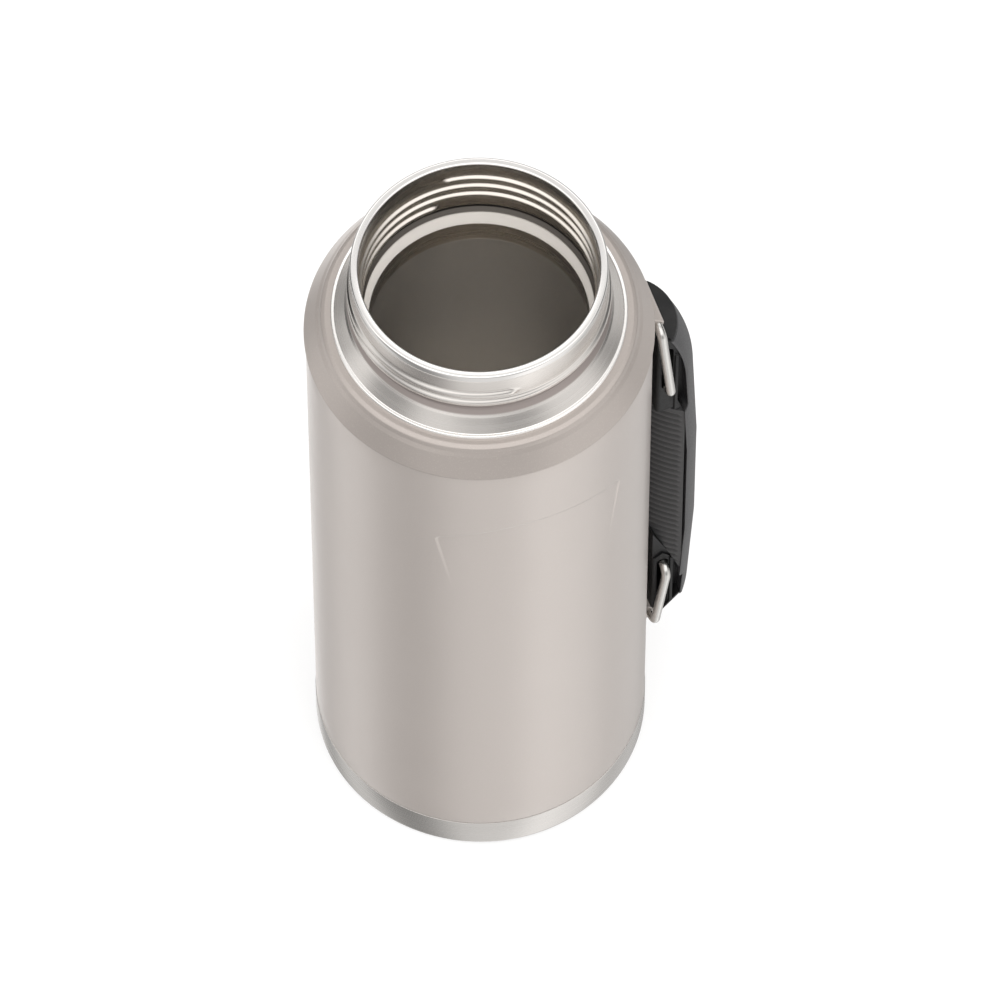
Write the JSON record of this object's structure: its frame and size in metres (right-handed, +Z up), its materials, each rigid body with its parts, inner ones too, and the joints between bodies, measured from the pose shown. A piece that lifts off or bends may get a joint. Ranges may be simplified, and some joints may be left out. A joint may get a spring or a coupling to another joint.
{
  "type": "insulated food jar",
  "caption": "Open-mouthed double-walled steel food jar with a threaded neck and a carrying handle that swings out on wire bails.",
  "frame": {"origin": "centre of the base's underside, on the jar's axis", "axes": "+Z up along the jar's axis through the mouth, +X towards the handle, -Y towards the pressed front panel"},
  "size_m": [0.1247, 0.1072, 0.268],
  "materials": {
    "body_paint": "satin powder coat",
    "bare_steel": "fine satin",
    "wire_steel": "bright drawn wire",
    "copper_foil": "thin reflective foil",
    "seal_glass": "hard glassy seal",
    "getter_grey": "pressed powder",
    "frame_black": "fine matte",
    "cover_grey": "fine matte",
    "grip_black": "matte ribbed"
  },
  "bodies": {
    "jar": {"outer_wall": "body_paint", "shoulder": "body_paint", "neck_ring": "bare_steel", "inner_liner": "bare_steel", "liner_bottom": "bare_steel", "foil_wrap": "copper_foil", "outer_bottom": "bare_steel", "vacuum_seal": "seal_glass", "getter_cup": "bare_steel", "getter": "getter_grey", "base_cup": "bare_steel", "upper_bracket": "body_paint", "lower_bracket": "body_paint"},
    "upper_bail": {"upper_bail": "wire_steel"},
    "lower_bail": {"lower_bail": "wire_steel"},
    "handle": {"handle_frame": "frame_black", "handle_cover": "cover_grey", "handle_grip": "grip_black", "handle_screws": "wire_steel"}
  },
  "joints": [
    {"name": "upper_bail_swing", "type": "hinge", "parent": "jar", "child": "upper_bail", "pos_m": [0.0552, 0, 0.2155], "axis": [0, -1, 0], "range_deg": [0, 45]},
    {"name": "handle_swing", "type": "hinge", "parent": "upper_bail", "child": "handle", "pos_m": [0.058, 0, 0.1815], "axis": [0, 1, 0], "range_deg": [0, 45]},
    {"name": "lower_bail_swing", "type": "hinge", "parent": "jar", "child": "lower_bail", "pos_m": [0.0552, 0, 0.0375], "axis": [0, 1, 0], "range_deg": [0, 45]}
  ],
  "couplings": [
    {"joint": "handle_swing", "follows": "upper_bail_swing", "ratio": 1},
    {"joint": "lower_bail_swing", "follows": "upper_bail_swing", "ratio": 1}
  ]
}
